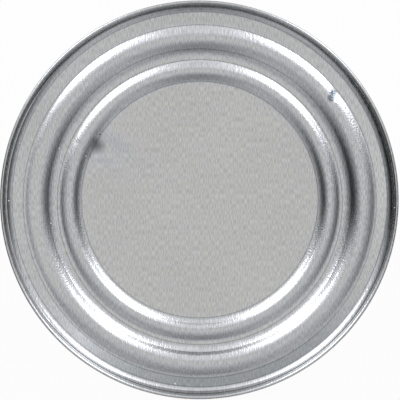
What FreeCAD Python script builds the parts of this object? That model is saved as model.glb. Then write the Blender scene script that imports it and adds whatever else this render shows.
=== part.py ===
import FreeCAD, Part
import math
import os
import re
import Sketcher

# A shut steel can of enchilada sauce, the kind that is opened with a can opener.
# A welded body holds the sauce, a stamped steel end is folded on to it in a double seam at each
# rim, and a paper label is glued round the wall.
# The origin is the middle of the lower rim's base, +Z goes up the can's axis, sizes are millimetres.

SIZES = [
    # name, size, what it measures
    ("can_height", 119.1, "from rim to rim"),
    ("seam_diameter", 103.2, "across the outside of a rim"),
    ("end_sheet", 0.24, "steel that the ends are stamped from"),
    ("body_sheet", 0.21, "steel that the body is rolled from"),
    ("lap_gap", 0.03, "sealing compound between two layers of a seam"),
    ("seam_height", 3.1, "height of the folded rim"),
    ("body_hook_space", 0.6, "left under the body's hook inside the seam"),
    ("cover_hook_space", 0.7, "left over the end's hook inside the seam"),
    ("wall_lean", 8.0, "degrees that the wall inside the rim leans from upright"),
    ("countersink_depth", 3.5, "from the rim's top down to the flat ring beside it"),
    ("countersink_bend", 1.0, "bend between that ring and the leaning wall"),
    ("ring_width", 3.2, "ring inside the countersink bend"),
    ("ring_fall", 0.08, "how much the ring falls on its way out"),
    ("rise_1_foot", 0.9, "outer bead, slope up from the ring: its lower bend"),
    ("rise_1_brow", 2.45, "outer bead, the same slope's upper bend"),
    ("rise_1_height", 0.59, "outer bead, height over the ring"),
    ("crest_1_width", 0.12, "outer bead, its level top"),
    ("fall_1_foot", 2.5, "outer bead, slope down to the trough: its lower bend"),
    ("fall_1_brow", 2.67, "outer bead, the same slope's upper bend"),
    ("fall_1_height", 1.39, "outer bead, height over the trough"),
    ("trough_width", 0.5, "level trough between the two beads"),
    ("rise_2_foot", 0.88, "inner bead, slope up from the trough: its lower bend"),
    ("rise_2_brow", 1.9, "inner bead, the same slope's upper bend"),
    ("rise_2_height", 0.59, "inner bead, height over the trough"),
    ("crest_2_width", 0.12, "inner bead, its level top"),
    ("fall_2_foot", 1.8, "inner bead, slope down to the centre panel: its lower bend"),
    ("fall_2_brow", 1.73, "inner bead, the same slope's upper bend"),
    ("fall_2_height", 0.88, "inner bead, height over the centre panel"),
    ("fill_gap", 0.12, "between the end's lowest point and what fills the can"),
    ("neck_drop", 0.2, "straight wall left under the seam before it steps in"),
    ("neck_height", 1.4, "height of that step"),
    ("neck_in", 0.6, "how far the wall steps in"),
    ("rib_count", 17, "ribs rolled into the wall to stiffen it"),
    ("rib_pitch", 4.8, "from one rib to the next"),
    ("rib_depth", 0.4, "how far a rib goes in"),
    ("rib_round", 3.2, "radius of a rib's hollow"),
    ("label_paper", 0.11, "thickness of the label"),
    ("label_gap", 0.03, "glue and air between the label and the wall"),
    ("label_margin", 1.2, "bare wall between the step and the label's edge"),
    ("label_lap", 11.0, "width of the glued overlap where the label's ends meet"),
]
NAMES = [name for name, _, _ in SIZES]

# The seam's five layers, from the inside outwards, with compound between them.
SEAM_RADIUS = "seam_diameter / 2"
SEAM_THICK = "(3 * end_sheet + 2 * body_sheet + 4 * lap_gap)"
WALL_IN = f"({SEAM_RADIUS} - {SEAM_THICK} + end_sheet + lap_gap)"
WALL_OUT = f"({WALL_IN} + body_sheet)"
COVER_HOOK_IN = f"({WALL_OUT} + lap_gap)"
BODY_HOOK_IN = f"({COVER_HOOK_IN} + end_sheet + lap_gap)"
BODY_HOOK_OUT = f"({BODY_HOOK_IN} + body_sheet)"

# Outer radii of the seam's bends: the rim, the base of the seam and the body's own turn inside it.
RIM_BEND = f"({SEAM_THICK} / 2)"
RIM_MIDDLE = f"({SEAM_RADIUS} - {RIM_BEND})"
BASE_BEND = "(end_sheet + lap_gap + body_sheet / 2)"
BODY_BEND = "(body_sheet + lap_gap + end_sheet / 2)"

# The end's wall leans, touching the rim's bend at the top and the countersink's at its foot.
LEAN_RUN = (
    f"((countersink_depth - countersink_bend - {RIM_BEND}"
    f" + (countersink_bend + {RIM_BEND}) * sin(wall_lean)) * tan(wall_lean))"
)
RING_OUT = f"({RIM_MIDDLE} - ({RIM_BEND} + countersink_bend) * cos(wall_lean) - {LEAN_RUN})"

# Depths under the rim.
RING_IN_DEPTH = "(countersink_depth - ring_fall)"
CREST_1 = f"({RING_IN_DEPTH} - rise_1_height)"
TROUGH = f"({CREST_1} + fall_1_height)"
CREST_2 = f"({TROUGH} - rise_2_height)"
CENTRE = f"({CREST_2} + fall_2_height)"
FILL = f"(max(countersink_depth; {TROUGH}; {CENTRE}) + end_sheet + fill_gap)"
NECK_TOP = f"(max(seam_height; {FILL}) + neck_drop)"
NECK_FOOT = f"({NECK_TOP} + neck_height)"
LABEL_EDGE = f"({NECK_FOOT} + label_margin)"

# Radii of the wall below the step and of the label round it.
BODY_RADIUS = f"({WALL_OUT} - neck_in)"
LABEL_IN = f"({BODY_RADIUS} + label_gap)"
LABEL_OUT = f"({LABEL_IN} + label_paper)"

doc = FreeCAD.newDocument("enchilada_sauce_can")
sheet = doc.addObject("Spreadsheet::Sheet", "sizes")
for row, (name, size, meaning) in enumerate(SIZES, start=1):
    sheet.set(f"A{row}", name)
    sheet.set(f"B{row}", str(size))
    sheet.setAlias(f"B{row}", name)
    sheet.set(f"C{row}", meaning)
doc.recompute()


def bound(formula):
    """The formula with each size's name turned into a reference to its cell."""
    return re.sub(r"\w+", lambda word: f"sizes.{word[0]}" if word[0] in NAMES else word[0], formula)


def worth(formula):
    """What the formula comes to with the sizes as they stand."""
    return float(sheet.evalExpression(bound(formula)))


def arc_between(start, end, radius, turn):
    """Short arc from start to end, turning left for +1 and right for -1."""
    chord = end - start
    across = FreeCAD.Vector(-chord.y, chord.x, 0).normalize() * turn
    rise = math.sqrt(max(radius ** 2 - (chord.Length / 2) ** 2, 0))
    middle = (start + end) / 2 + across * rise
    circle = Part.Circle(middle, FreeCAD.Vector(0, 0, 1), radius)
    first, last = (start, end) if turn > 0 else (end, start)
    angles = [math.atan2(point.y - middle.y, point.x - middle.x) for point in (first, last)]
    return Part.ArcOfCircle(circle, *angles)


def bind(sketch, constraint, formula):
    """Sets a constraint of the sketch to a formula of the sizes."""
    sketch.setExpression(f"Constraints[{constraint}]", bound(formula))


def pin_point(sketch, element, end, across, up):
    """Holds one end of an element at a distance across and up from the sketch's origin."""
    for kind, formula, own_axis in (("DistanceX", across, -2), ("DistanceY", up, -1)):
        if formula == "0":
            sketch.addConstraint(Sketcher.Constraint("PointOnObject", element, end, own_axis))
        else:
            distance = Sketcher.Constraint(kind, -1, 1, element, end, worth(formula))
            bind(sketch, sketch.addConstraint(distance), formula)


def draw_outline(sketch, corners):
    """Closed outline through corners (across, up, radius, turn), radius None for a straight run.

    A corner's radius and turn belong to the run that leads to it from the corner before.
    """
    points = [FreeCAD.Vector(worth(across), worth(up), 0) for across, up, _, _ in corners]
    ends = []
    for number, (_, _, radius, turn) in enumerate(corners):
        start, end = points[number - 1], points[number]
        if radius is None:
            element = sketch.addGeometry(Part.LineSegment(start, end))
            ends.append((element, 1, 2))
            continue
        element = sketch.addGeometry(arc_between(start, end, worth(radius), turn))
        ends.append((element, 1, 2) if turn > 0 else (element, 2, 1))
        rounding = Sketcher.Constraint("Radius", element, worth(radius))
        bind(sketch, sketch.addConstraint(rounding), radius)
    for number, (across, up, _, _) in enumerate(corners):
        element, _, last = ends[number]
        following, first, _ = ends[(number + 1) % len(ends)]
        sketch.addConstraint(Sketcher.Constraint("Coincident", element, last, following, first))
        pin_point(sketch, element, last, across, up)


def new_body(label):
    """Empty body that carries one piece of the can."""
    body = doc.addObject("PartDesign::Body", label)
    body.Label = label
    body.Placement = FreeCAD.Placement()
    return body


def new_sketch(body, name, plane="XZ_Plane"):
    """Sketch on one of the body's own upright planes, with its second axis up the can."""
    sketch = body.newObject("Sketcher::SketchObject", name)
    origin = next(item for item in body.Origin.OriginFeatures if item.Role == plane)
    sketch.AttachmentSupport = [(origin, "")]
    sketch.MapMode = "FlatFace"
    doc.recompute()
    return sketch


def revolve(body, sketch, name, angle="360"):
    """Solid swept by the sketch round the can's axis."""
    solid = body.newObject("PartDesign::Revolution", name)
    solid.Profile = sketch
    solid.ReferenceAxis = (sketch, ["V_Axis"])
    solid.setExpression("Angle", bound(angle))
    return solid


def slope(radius_a, depth_a, widths, height, down, lowered):
    """Two bends that ease a level sheet over to another level further out, as two corners.

    widths are the inner bend's and the outer bend's. down is +1 for a sheet that goes deeper as
    it goes out, and -1 for one that comes up. Both bends reach the same steepness where they meet.
    """
    sign = "+" if down > 0 else "-"
    inner, outer = widths
    across = f"({inner} + {outer})"
    spread = f"({across}^2 + {height}^2) / (2 * {height} * {across})"
    meet = (f"({radius_a} + {inner})", f"({depth_a} {sign} {height} * {inner} / {across}{lowered})")
    far = (f"({radius_a} + {across})", f"({depth_a} {sign} {height}{lowered})")
    return [(*meet, f"({inner} * {spread})", -down), (*far, f"({outer} * {spread})", down)]


def panel_face(lowered=""):
    """Stamped face of an end from the axis out to its countersink bend, as corners.

    lowered sets the whole face down by a sheet's thickness. Stamping stretches the slopes,
    so the sheet keeps its thickness straight down rather than square to a slope.
    """
    ring_in = f"({RING_OUT} - ring_width)"
    crest_1_out = f"({ring_in} - rise_1_foot - rise_1_brow)"
    crest_1_in = f"({crest_1_out} - crest_1_width)"
    trough_out = f"({crest_1_in} - fall_1_foot - fall_1_brow)"
    trough_in = f"({trough_out} - trough_width)"
    crest_2_out = f"({trough_in} - rise_2_foot - rise_2_brow)"
    crest_2_in = f"({crest_2_out} - crest_2_width)"
    centre_edge = f"({crest_2_in} - fall_2_foot - fall_2_brow)"
    return [
        ("0", f"({CENTRE}{lowered})", None, 0),
        (centre_edge, f"({CENTRE}{lowered})", None, 0),
        *slope(centre_edge, CENTRE, ("fall_2_foot", "fall_2_brow"), "fall_2_height", -1, lowered),
        (crest_2_out, f"({CREST_2}{lowered})", None, 0),
        *slope(crest_2_out, CREST_2, ("rise_2_brow", "rise_2_foot"), "rise_2_height", 1, lowered),
        (trough_out, f"({TROUGH}{lowered})", None, 0),
        *slope(trough_out, TROUGH, ("fall_1_foot", "fall_1_brow"), "fall_1_height", -1, lowered),
        (crest_1_out, f"({CREST_1}{lowered})", None, 0),
        *slope(crest_1_out, CREST_1, ("rise_1_brow", "rise_1_foot"), "rise_1_height", 1, lowered),
        (RING_OUT, f"(countersink_depth{lowered})", None, 0),
    ]


def backwards(corners):
    """The same run of corners walked the other way."""
    bends = [(None, 0)] + [(radius, -turn) for _, _, radius, turn in corners[:0:-1]]
    return [(across, up, *bend) for (across, up, _, _), bend in zip(corners[::-1], bends)]


def on_bend(centre, radius, tilt):
    """Point where a wall that leans by tilt touches a bend, as (radius, depth).

    centre is the bend's own, and radius is below zero for a bend on the wall's other side.
    """
    return f"({centre[0]} + {radius} * cos({tilt}))", f"({centre[1]} + {radius} * sin({tilt}))"


def end_outline():
    """Section of an end, as corners (radius, depth under the rim, bend, turn).

    It runs out along the face that shows, over the rim, round the hook and back underneath.
    """
    sink = (RING_OUT, "(countersink_depth - countersink_bend)")
    rim = (RIM_MIDDLE, RIM_BEND)
    sink_under = "(countersink_bend + end_sheet)"
    rim_under = f"({RIM_BEND} - end_sheet)"
    base_in = f"({SEAM_RADIUS} - {BASE_BEND})"
    base_top = f"(seam_height - {BASE_BEND})"
    base_under = f"({BASE_BEND} - end_sheet)"
    hook_end = "(end_sheet + lap_gap + body_sheet + cover_hook_space)"
    return [
        *panel_face(),
        (*on_bend(sink, "countersink_bend", "wall_lean"), "countersink_bend", 1),
        (*on_bend(rim, f"-{RIM_BEND}", "wall_lean"), None, 0),
        (RIM_MIDDLE, "0", RIM_BEND, -1),
        (SEAM_RADIUS, RIM_BEND, RIM_BEND, -1),
        (SEAM_RADIUS, base_top, None, 0),
        (base_in, "seam_height", BASE_BEND, -1),
        (COVER_HOOK_IN, base_top, BASE_BEND, -1),
        (COVER_HOOK_IN, hook_end, None, 0),
        (f"({COVER_HOOK_IN} + end_sheet)", hook_end, None, 0),
        (f"({COVER_HOOK_IN} + end_sheet)", base_top, None, 0),
        (base_in, "(seam_height - end_sheet)", base_under, 1),
        (f"({SEAM_RADIUS} - end_sheet)", base_top, base_under, 1),
        (f"({SEAM_RADIUS} - end_sheet)", RIM_BEND, None, 0),
        (RIM_MIDDLE, "end_sheet", rim_under, 1),
        (*on_bend(rim, f"-{rim_under}", "wall_lean"), rim_under, 1),
        (*on_bend(sink, sink_under, "wall_lean"), None, 0),
        (RING_OUT, "(countersink_depth + end_sheet)", sink_under, -1),
        *backwards(panel_face(" + end_sheet"))[1:],
    ]


def body_half_outline():
    """Section of the filled body from the axis to the middle of the wall, at one rim."""
    turn_top = "(end_sheet + lap_gap)"
    turn_foot = f"({turn_top} + {BODY_BEND})"
    turn_middle = f"({WALL_IN} + {BODY_BEND})"
    inner_bend = f"({BODY_BEND} - body_sheet)"
    hook_end = "(seam_height - end_sheet - body_hook_space)"
    return [
        ("0", FILL, None, 0),
        (WALL_IN, FILL, None, 0),
        (WALL_IN, turn_foot, None, 0),
        (turn_middle, turn_top, BODY_BEND, -1),
        (BODY_HOOK_OUT, turn_foot, BODY_BEND, -1),
        (BODY_HOOK_OUT, hook_end, None, 0),
        (BODY_HOOK_IN, hook_end, None, 0),
        (BODY_HOOK_IN, turn_foot, None, 0),
        (turn_middle, f"({turn_top} + body_sheet)", inner_bend, 1),
        (WALL_OUT, turn_foot, inner_bend, 1),
        (WALL_OUT, NECK_TOP, None, 0),
        (BODY_RADIUS, NECK_FOOT, None, 0),
    ]


def at_top(corners):
    """Corners given by depth under the rim, placed under the upper rim."""
    return [(across, f"(can_height - {depth})", radius, turn) for across, depth, radius, turn in corners]


def at_bottom(corners):
    """Corners given by depth under the rim, turned over on to the lower rim."""
    return [(across, depth, radius, -turn) for across, depth, radius, turn in corners]


def make_end(label, place):
    """Stamped steel end with its two beads, folded over into the seam."""
    body = new_body(label)
    sketch = new_sketch(body, f"{label}_section")
    draw_outline(sketch, place(end_outline()))
    revolve(body, sketch, f"{label}_spun")
    return body


def make_can_body():
    """Steel wall with both its hooks, filled with sauce, with ribs rolled into the wall."""
    body = new_body("can_body")
    sketch = new_sketch(body, "can_body_section")
    half = body_half_outline()
    draw_outline(sketch, at_top(half) + backwards(at_bottom(half)))
    revolve(body, sketch, "can_body_spun")
    ring = new_sketch(body, "rib_section")
    across = f"({BODY_RADIUS} - rib_depth + rib_round)"
    up = "(can_height / 2 - rib_pitch * (rib_count - 1) / 2)"
    middle = FreeCAD.Vector(worth(across), worth(up), 0)
    circle = ring.addGeometry(Part.Circle(middle, FreeCAD.Vector(0, 0, 1), worth("rib_round")))
    rounding = Sketcher.Constraint("Radius", circle, worth("rib_round"))
    bind(ring, ring.addConstraint(rounding), "rib_round")
    pin_point(ring, circle, 3, across, up)
    rib = body.newObject("PartDesign::Groove", "rib")
    rib.Profile = ring
    rib.ReferenceAxis = (ring, ["V_Axis"])
    rib.Angle = 360
    doc.recompute()
    ribs = body.newObject("PartDesign::LinearPattern", "ribs")
    ribs.Originals = [rib]
    ribs.Direction = (ring, ["V_Axis"])
    ribs.setExpression("Length", bound("rib_pitch * (rib_count - 1)"))
    ribs.setExpression("Occurrences", bound("rib_count"))
    body.Tip = ribs
    return body


def make_label():
    """Paper wrapped round the wall, with the glued overlap of its two ends at the back."""
    body = new_body("paper_label")
    top = f"(can_height - {LABEL_EDGE})"
    lap_out = f"({LABEL_OUT} + label_paper)"
    layers = [
        ("wrap", "XZ_Plane", LABEL_IN, LABEL_OUT, "360"),
        ("overlap", "YZ_Plane", LABEL_OUT, lap_out, f"label_lap / {LABEL_OUT} * 180 / pi"),
    ]
    for name, plane, inside, outside, angle in layers:
        sketch = new_sketch(body, f"{name}_section", plane)
        draw_outline(sketch, [
            (inside, LABEL_EDGE, None, 0),
            (outside, LABEL_EDGE, None, 0),
            (outside, top, None, 0),
            (inside, top, None, 0),
        ])
        body.Tip = revolve(body, sketch, name, angle)
        doc.recompute()
    return body


pieces = [
    make_can_body(),
    make_end("top_end", at_top),
    make_end("bottom_end", at_bottom),
    make_label(),
]
doc.recompute()

for item in doc.Objects:
    if "Invalid" in item.State or "Error" in item.State:
        raise SystemExit(f"{item.Label} did not compute")
for piece in pieces:
    if piece.Shape.isNull() or not piece.Shape.isValid():
        raise SystemExit(f"{piece.Label} has no sound shape")

os.makedirs("parts", exist_ok=True)
for piece in pieces:
    piece.Shape.exportStep(f"parts/{piece.Label}.step")
    print(f"{piece.Label}: {len(piece.Shape.Solids)} solid, {piece.Shape.Volume:.1f} mm3")
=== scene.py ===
import math
from functools import partial

import bmesh
import bpy
import numpy as np
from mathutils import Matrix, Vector


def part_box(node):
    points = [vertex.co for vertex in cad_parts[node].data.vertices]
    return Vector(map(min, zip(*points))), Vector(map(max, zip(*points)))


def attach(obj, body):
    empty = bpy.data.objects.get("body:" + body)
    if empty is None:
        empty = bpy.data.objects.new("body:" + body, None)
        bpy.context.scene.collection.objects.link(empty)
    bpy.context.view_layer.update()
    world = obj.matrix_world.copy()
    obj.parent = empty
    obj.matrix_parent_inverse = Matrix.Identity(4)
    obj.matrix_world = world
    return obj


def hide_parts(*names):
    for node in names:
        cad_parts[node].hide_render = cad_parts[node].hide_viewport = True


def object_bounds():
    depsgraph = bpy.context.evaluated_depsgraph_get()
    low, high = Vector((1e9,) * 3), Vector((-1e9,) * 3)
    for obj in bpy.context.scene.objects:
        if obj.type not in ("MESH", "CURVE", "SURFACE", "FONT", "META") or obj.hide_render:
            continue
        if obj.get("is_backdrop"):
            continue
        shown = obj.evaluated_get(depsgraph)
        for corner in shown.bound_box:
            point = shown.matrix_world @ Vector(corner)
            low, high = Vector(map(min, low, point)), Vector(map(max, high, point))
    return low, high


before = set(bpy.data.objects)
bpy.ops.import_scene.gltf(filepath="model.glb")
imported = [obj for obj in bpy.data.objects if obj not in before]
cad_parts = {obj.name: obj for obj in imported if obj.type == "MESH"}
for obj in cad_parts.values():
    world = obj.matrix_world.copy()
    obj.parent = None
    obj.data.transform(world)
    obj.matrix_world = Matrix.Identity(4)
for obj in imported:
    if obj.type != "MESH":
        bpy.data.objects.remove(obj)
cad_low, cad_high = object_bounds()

MM = 0.001

# ---------------------------------------------------------------- upper and lower end
# Each end is one disc of tinned steel, stamped with two round beads so that it can bulge and
# settle with the pressure inside, then folded over the body's flange into a five-layer seam.
# The sheet was rolled in one direction, and its fine straight grain runs across both discs.

RIM_RADIUS = -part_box("top_end")[0].x / MM
CAN_HEIGHT = cad_high.z / MM
END_SHEET = 0.24
BODY_SHEET = 0.21
LAP_GAP = 0.03
SEAM_THICK = 3 * END_SHEET + 2 * BODY_SHEET + 4 * LAP_GAP
SEAM_HEIGHT = 3.1
RIM_BEND = SEAM_THICK / 2
OUTER_RIM_BEND = 0.42
WALL_LEAN = math.radians(3)
WALL_IN = RIM_RADIUS - SEAM_THICK + END_SHEET + LAP_GAP
WALL_OUT = WALL_IN + BODY_SHEET
COUNTERSINK_DEPTH = 3.5
SINK_BEND = 3.2
SINK_TILT = math.radians(36)
CORNER_BEND = 0.5
RING_IN = 45.86
RING_FALL = 0.08
# Slopes of the two beads from the rim inwards, each as its outer bend's width, its inner bend's
# width and its height.
RISE_1 = (0.90, 2.45, 0.59)
FALL_1 = (2.67, 2.50, 1.39)
RISE_2 = (0.88, 1.90, 0.59)
FALL_2 = (1.73, 1.80, 0.88)
CREST_WIDTH = 0.12
TROUGH_WIDTH = 0.50
HOOK_SPACE = 0.7

# The mesh: steps round the can, the usual width of a row, and the close rows that hold an edge.
SPIN_STEPS = 600
ROW_WIDTH = 0.38
EDGE_ROW = 0.08


def bend(section, centre, radius, start, stop, steps):
    """Adds a round corner to a section: angles in degrees, 0 outwards and 90 up."""
    for angle in np.radians(np.linspace(start, stop, steps + 1)[1:]):
        section.append((centre[0] + radius * math.cos(angle), centre[1] + radius * math.sin(angle)))


def level(section, radius, fall=0.0):
    """Adds a level run out to a radius, with a close row at both its edges to keep it flat."""
    start, height = section[-1]
    if radius - start > 4 * EDGE_ROW:
        section += [(start + EDGE_ROW, height), (radius - EDGE_ROW, height - fall)]
    section.append((radius, height - fall))


def slope(section, inner, outer, rise):
    """Adds two bends that ease the sheet up or down to a new level, further out."""
    across = inner + outer
    tilt = 2 * math.degrees(math.atan(abs(rise) / across))
    inner_radius, outer_radius = (width / math.sin(math.radians(tilt)) for width in (inner, outer))
    start, height = section[-1]
    up = math.copysign(1, rise)
    steps = [max(4, round(width / ROW_WIDTH)) for width in (inner, outer)]
    bend(section, (start, height + up * inner_radius), inner_radius, -up * 90, -up * (90 - tilt), steps[0])
    far = (start + across, height + rise - up * outer_radius)
    bend(section, far, outer_radius, up * (90 + tilt), up * 90, steps[1])


def end_section():
    """Section of an end from its centre, over the rim, round the hook and back underneath.

    Heights are measured from the rim, so they are all below zero. Each bend ends with its number
    of rows.
    """
    # The chuck wall leans out to the rim's inner bend, which is tangent to it.
    crest = RIM_RADIUS - OUTER_RIM_BEND
    wall_top = RIM_RADIUS - SEAM_THICK
    inner_bend = (crest - wall_top) / math.cos(WALL_LEAN)
    rim = (crest, -inner_bend)
    edge = (crest, -OUTER_RIM_BEND)
    wall_top_height = rim[1] + inner_bend * math.sin(WALL_LEAN)
    steep = math.pi / 2 - WALL_LEAN
    corner_height = SINK_BEND - (SINK_BEND - CORNER_BEND) * math.cos(SINK_TILT) - COUNTERSINK_DEPTH
    wall_foot_height = corner_height - CORNER_BEND * math.cos(steep)
    wall_foot = wall_top - (wall_top_height - wall_foot_height) * math.tan(WALL_LEAN)
    corner = (wall_foot - CORNER_BEND * math.sin(steep), corner_height)
    ring_out = corner[0] - (SINK_BEND - CORNER_BEND) * math.sin(SINK_TILT)
    sink = (ring_out, SINK_BEND - COUNTERSINK_DEPTH)
    ring_in = RING_IN
    crest_1_out = ring_in - sum(RISE_1[:2])
    trough_out = crest_1_out - CREST_WIDTH - sum(FALL_1[:2])
    crest_2_out = trough_out - TROUGH_WIDTH - sum(RISE_2[:2])
    centre_edge = crest_2_out - CREST_WIDTH - sum(FALL_2[:2])
    centre_height = -COUNTERSINK_DEPTH + RING_FALL + RISE_1[2] - FALL_1[2] + RISE_2[2] - FALL_2[2]
    # The centre panel is flat, and has close rows only near its edge, where it may be dimpled.
    face = [(0.0, centre_height), (0.6 * centre_edge, centre_height)]
    for radius in np.arange(0.8 * centre_edge, centre_edge - EDGE_ROW, 2 * ROW_WIDTH):
        face.append((radius, centre_height))
    face.append((centre_edge, centre_height))
    slope(face, FALL_2[1], FALL_2[0], FALL_2[2])
    level(face, crest_2_out)
    slope(face, RISE_2[1], RISE_2[0], -RISE_2[2])
    level(face, trough_out)
    slope(face, FALL_1[1], FALL_1[0], FALL_1[2])
    level(face, crest_1_out)
    slope(face, RISE_1[1], RISE_1[0], -RISE_1[2])
    level(face, ring_out, RING_FALL)
    under = [(radius, height - END_SHEET) for radius, height in face[::-3]]
    lean, tilt = math.degrees(WALL_LEAN), math.degrees(SINK_TILT)
    bend(face, sink, SINK_BEND, -90, tilt - 90, 9)
    bend(face, corner, CORNER_BEND, tilt - 90, -lean, 6)
    face.append((wall_top, wall_top_height))
    bend(face, rim, inner_bend, 180 - lean, 90, 12)
    bend(face, edge, OUTER_RIM_BEND, 90, 0, 8)
    base_bend = END_SHEET + LAP_GAP + BODY_SHEET / 2
    base = (RIM_RADIUS - base_bend, base_bend - SEAM_HEIGHT)
    face += [(RIM_RADIUS, edge[1] - EDGE_ROW), (RIM_RADIUS, base[1] + EDGE_ROW), (RIM_RADIUS, base[1])]
    bend(face, base, base_bend, 0, -180, 10)
    hook_in = WALL_OUT + LAP_GAP
    hook_end = -(END_SHEET + LAP_GAP + BODY_SHEET + HOOK_SPACE)
    face += [(hook_in, hook_end), (hook_in + END_SHEET, hook_end), (hook_in + END_SHEET, base[1])]
    bend(face, base, base_bend - END_SHEET, -180, 0, 3)
    face.append((RIM_RADIUS - END_SHEET, edge[1]))
    bend(face, edge, OUTER_RIM_BEND - END_SHEET, 0, 90, 3)
    bend(face, rim, inner_bend - END_SHEET, 90, 180 - lean, 5)
    bend(face, corner, CORNER_BEND + END_SHEET, -lean, tilt - 90, 3)
    bend(face, sink, SINK_BEND + END_SHEET, tilt - 90, -90, 3)
    return face + under[1:] + [(0.0, centre_height - END_SHEET)]


def link_nodes(tree, *steps):
    """Joins (from socket, to socket) pairs in a node tree."""
    for source, target in steps:
        tree.links.new(source, target)


def math_node(tree, operation, *values):
    """A Math node; each value is a number or a socket. Gives its result's socket."""
    node = tree.nodes.new("ShaderNodeMath")
    node.operation = operation
    for socket, value in zip(node.inputs, values):
        if isinstance(value, (int, float)):
            socket.default_value = value
        else:
            tree.links.new(value, socket)
    return node.outputs[0]


def vector_node(tree, operation, *values):
    """A Vector Math node; each value is a tuple or a socket. Gives the node."""
    node = tree.nodes.new("ShaderNodeVectorMath")
    node.operation = operation
    for socket, value in zip(node.inputs, values):
        if isinstance(value, tuple):
            socket.default_value = value
        else:
            tree.links.new(value, socket)
    return node


def store_map(tree, name, geometry, value):
    """Stores a map of the surface, by corners, under a name. Gives the geometry's socket."""
    store = tree.nodes.new("GeometryNodeStoreNamedAttribute")
    store.data_type = "FLOAT2"
    store.domain = "CORNER"
    store.inputs["Name"].default_value = name
    link_nodes(tree, (geometry, store.inputs["Geometry"]), (value, store.inputs["Value"]))
    return store.outputs[0]


def new_tree(name, *inputs):
    """Empty geometry node tree with named inputs, given as (name, socket type). Gives both."""
    tree = bpy.data.node_groups.new(name, "GeometryNodeTree")
    for label, kind in inputs:
        tree.interface.new_socket(label, in_out="INPUT", socket_type=f"NodeSocket{kind}")
    tree.interface.new_socket("Piece", in_out="OUTPUT", socket_type="NodeSocketGeometry")
    return tree, tree.nodes.new("NodeGroupInput").outputs


def section_grid(tree, inputs):
    """Grid of a section's points by the steps round, whose points are still to be placed.

    Gives each point's share of the way round, its place in the section, the sockets for the place
    it gets, the grid once it is placed, and the parts of its place from there on.
    """
    new = tree.nodes.new
    calc = partial(math_node, tree)
    grid = new("GeometryNodeMeshGrid")
    rows = inputs["Section points"]
    index = new("GeometryNodeInputIndex").outputs[0]
    column = calc("DIVIDE", calc("ADD", index, 0.5), rows)
    share = calc("DIVIDE", calc("FLOOR", column), inputs["Steps round"])
    keep = new("GeometryNodeCaptureAttribute")
    keep.capture_items.new("FLOAT", "share")
    sample = new("GeometryNodeSampleIndex")
    sample.data_type = "FLOAT_VECTOR"
    point = new("ShaderNodeSeparateXYZ")
    place = new("ShaderNodeCombineXYZ")
    put = new("GeometryNodeSetPosition")
    here = new("ShaderNodeSeparateXYZ")
    link_nodes(
        tree,
        (calc("ADD", inputs["Steps round"], 1), grid.inputs["Vertices X"]),
        (rows, grid.inputs["Vertices Y"]),
        (grid.outputs["Mesh"], keep.inputs["Geometry"]),
        (share, keep.inputs["share"]),
        (inputs["Section"], sample.inputs["Geometry"]),
        (new("GeometryNodeInputPosition").outputs[0], sample.inputs["Value"]),
        (calc("MODULO", index, rows), sample.inputs["Index"]),
        (sample.outputs[0], point.inputs[0]),
        (point.outputs["Z"], place.inputs["Z"]),
        (keep.outputs["Geometry"], put.inputs["Geometry"]),
        (place.outputs[0], put.inputs["Position"]),
        (new("GeometryNodeInputPosition").outputs[0], here.inputs[0]),
    )
    return keep.outputs["share"], point.outputs, place.inputs, put.outputs[0], here.outputs


def joined(tree, geometry):
    """Closes seams and poles. Gives the geometry's socket."""
    merge = tree.nodes.new("GeometryNodeMergeByDistance")
    merge.inputs["Distance"].default_value = 0.001 * MM
    tree.links.new(geometry, merge.inputs["Geometry"])
    return merge.outputs[0]


def finish_tree(tree, inputs, geometry):
    """Smooths the geometry, gives it its finish and ends the tree."""
    smooth = tree.nodes.new("GeometryNodeSetShadeSmooth")
    real = tree.nodes.new("GeometryNodeRealizeInstances")
    finish = tree.nodes.new("GeometryNodeSetMaterial")
    link_nodes(
        tree,
        (geometry, smooth.inputs["Geometry"]),
        (smooth.outputs[0], real.inputs[0]),
        (real.outputs[0], finish.inputs["Geometry"]),
        (inputs["Finish"], finish.inputs["Material"]),
        (finish.outputs[0], tree.nodes.new("NodeGroupOutput").inputs[0]),
    )


def spin_tree():
    """Geometry nodes that spin a section, point by point, into a closed solid of revolution.

    They leave two maps: "grain" looks straight down on the piece, and "wrap" runs round it.
    """
    tree, inputs = new_tree("spin_sheet", ("Section", "Geometry"), ("Section points", "Int"),
                            ("Steps round", "Int"), ("Finish", "Material"))
    calc = partial(math_node, tree)
    share, point, place, placed, here = section_grid(tree, inputs)
    angle = calc("MULTIPLY", share, math.tau)
    cosine, sine = calc("COSINE", angle), calc("SINE", angle)
    wrap = tree.nodes.new("ShaderNodeCombineXYZ")
    grain = tree.nodes.new("ShaderNodeCombineXYZ")
    link_nodes(
        tree,
        (calc("MULTIPLY", point["X"], cosine), place["X"]),
        (calc("MULTIPLY", point["X"], sine), place["Y"]),
        (calc("MULTIPLY", angle, RIM_RADIUS * MM), wrap.inputs["X"]),
        (here["Z"], wrap.inputs["Y"]),
        (here["X"], grain.inputs["X"]),
        (calc("ADD", here["Y"], here["Z"]), grain.inputs["Y"]),
    )
    closed = joined(tree, store_map(tree, "wrap", placed, wrap.outputs[0]))
    finish_tree(tree, inputs, store_map(tree, "grain", closed, grain.outputs[0]))
    return tree


def grown(name, base, tree, settings):
    """Piece that a node tree grows from a base mesh, as a plain mesh at the origin."""
    obj = bpy.data.objects.new(name, base)
    bpy.context.collection.objects.link(obj)
    modifier = obj.modifiers.new("grow", "NODES")
    modifier.node_group = tree
    for item in tree.interface.items_tree:
        if item.in_out == "INPUT" and item.name in settings:
            modifier[item.identifier] = settings[item.name]
    seen = obj.evaluated_get(bpy.context.evaluated_depsgraph_get())
    obj.data = bpy.data.meshes.new_from_object(seen)
    obj.modifiers.remove(modifier)
    obj.data.name = name
    return obj


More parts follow.
